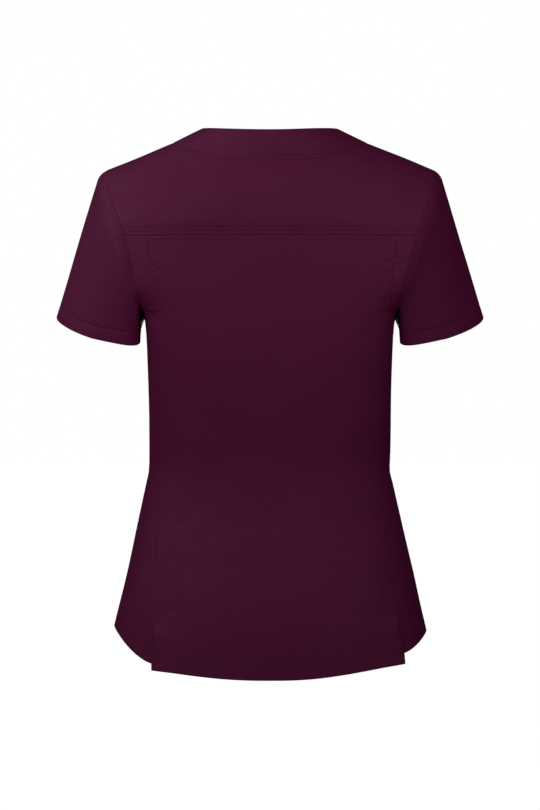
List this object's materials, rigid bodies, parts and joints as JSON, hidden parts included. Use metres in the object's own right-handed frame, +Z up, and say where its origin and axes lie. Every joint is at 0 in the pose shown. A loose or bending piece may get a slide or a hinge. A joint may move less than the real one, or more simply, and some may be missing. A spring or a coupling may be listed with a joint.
{
  "type": "medical scrub top",
  "caption": "Short-sleeved V-neck scrub top, hollow as worn, with back yoke, princess seams, flared waist and a curved hem with side vents",
  "frame": {"origin": "between the two points where the neckband meets the shoulders, at the height of those points, where the wearer's shoulders hold the top up", "axes": "+Z up, +Y out of the front, -Y out of the back, +X towards the wearer's right sleeve"},
  "size_m": [0.5316, 0.2543, 0.6732],
  "materials": {
    "cloth": "smooth matt woven twill, dark aubergine"
  },
  "bodies": {
    "root": {"back_yoke": "cloth", "back_panel": "cloth", "front_panel": "cloth", "side_panel_left": "cloth", "side_panel_right": "cloth", "sleeve_left": "cloth", "sleeve_right": "cloth", "neckband_back": "cloth", "neckband_left": "cloth", "neckband_right": "cloth"}
  },
  "joints": []
}
